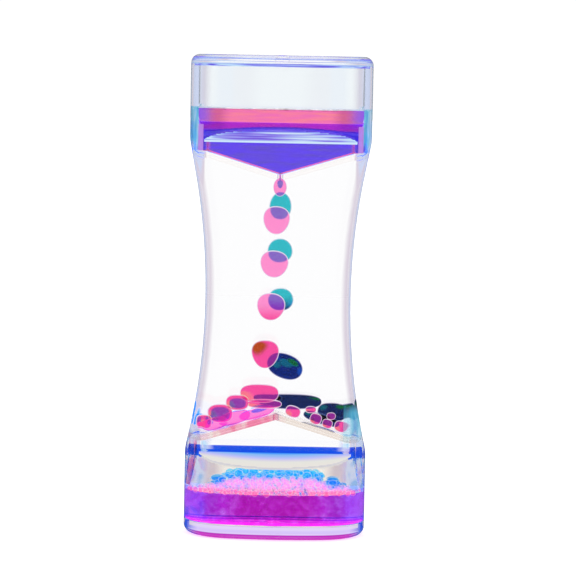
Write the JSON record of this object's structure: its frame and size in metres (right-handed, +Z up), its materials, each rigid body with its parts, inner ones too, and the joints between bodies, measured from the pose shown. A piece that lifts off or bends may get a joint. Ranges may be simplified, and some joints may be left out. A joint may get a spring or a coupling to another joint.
{
  "type": "liquid motion timer",
  "caption": "Clear hourglass desk timer with oval end blocks; pink and blue drops fall from V-shaped trays through clear oil onto a roof and gather in the base.",
  "frame": {"origin": "middle of the base, on the surface it stands on", "axes": "+Z up, +X to the viewer's right, the front faces -Y"},
  "size_m": [0.05, 0.03, 0.132],
  "materials": {
    "clear_case": "clear moulded polystyrene",
    "clear_insert": "clear moulded polystyrene",
    "plug": "translucent soft plastic",
    "pink_liquid": "dyed water",
    "blue_liquid": "dyed water",
    "pink_foam": "layer of small drops of dyed water",
    "blue_foam": "layer of small drops of dyed water"
  },
  "bodies": {
    "case": {"body_shell": "clear_case", "upper_end_cap": "clear_case", "lower_end_cap": "clear_case", "upper_fill_plugs": "plug", "lower_fill_plugs": "plug", "upper_divider": "clear_insert", "lower_divider": "clear_insert", "upper_front_tray": "clear_insert", "upper_rear_tray": "clear_insert", "lower_front_tray": "clear_insert", "lower_rear_tray": "clear_insert", "pink_reservoir": "pink_liquid", "blue_reservoir": "blue_liquid", "pink_pendant_drop": "pink_liquid", "blue_pendant_drop": "blue_liquid", "pink_pile": "pink_liquid", "blue_pile": "blue_liquid", "pink_pool": "pink_liquid", "blue_pool": "blue_liquid", "pink_foam": "pink_foam", "blue_foam": "blue_foam"},
    "pink_drop_1": {"pink_drop_1": "pink_liquid"},
    "pink_drop_2": {"pink_drop_2": "pink_liquid"},
    "pink_drop_3": {"pink_drop_3": "pink_liquid"},
    "pink_drop_4": {"pink_drop_4": "pink_liquid"},
    "blue_drop_1": {"blue_drop_1": "blue_liquid"},
    "blue_drop_2": {"blue_drop_2": "blue_liquid"},
    "blue_drop_3": {"blue_drop_3": "blue_liquid"},
    "blue_drop_4": {"blue_drop_4": "blue_liquid"}
  },
  "joints": [
    {"name": "pink_drop_1_fall", "type": "slide", "parent": "case", "child": "pink_drop_1", "axis": [0, 0, -1], "range_m": [0, 0.012]},
    {"name": "pink_drop_2_fall", "type": "slide", "parent": "case", "child": "pink_drop_2", "axis": [0, 0, -1], "range_m": [0, 0.0117]},
    {"name": "pink_drop_3_fall", "type": "slide", "parent": "case", "child": "pink_drop_3", "axis": [0, 0, -1], "range_m": [0, 0.0092]},
    {"name": "pink_drop_4_fall", "type": "slide", "parent": "case", "child": "pink_drop_4", "axis": [0, 0, -1], "range_m": [0, 0.0042]},
    {"name": "blue_drop_1_fall", "type": "slide", "parent": "case", "child": "blue_drop_1", "axis": [0, 0, -1], "range_m": [0, 0.0123]},
    {"name": "blue_drop_2_fall", "type": "slide", "parent": "case", "child": "blue_drop_2", "axis": [0, 0, -1], "range_m": [0, 0.0135]},
    {"name": "blue_drop_3_fall", "type": "slide", "parent": "case", "child": "blue_drop_3", "axis": [0, 0, -1], "range_m": [0, 0.0146]},
    {"name": "blue_drop_4_fall", "type": "slide", "parent": "case", "child": "blue_drop_4", "axis": [0, 0, -1], "range_m": [0, 0.0032]}
  ],
  "couplings": [
    {"joint": "pink_drop_2_fall", "follows": "pink_drop_1_fall", "ratio": 0.975},
    {"joint": "pink_drop_3_fall", "follows": "pink_drop_1_fall", "ratio": 0.7666},
    {"joint": "pink_drop_4_fall", "follows": "pink_drop_1_fall", "ratio": 0.35},
    {"joint": "blue_drop_2_fall", "follows": "blue_drop_1_fall", "ratio": 1.0975},
    {"joint": "blue_drop_3_fall", "follows": "blue_drop_1_fall", "ratio": 1.1869},
    {"joint": "blue_drop_4_fall", "follows": "blue_drop_1_fall", "ratio": 0.2601}
  ]
}
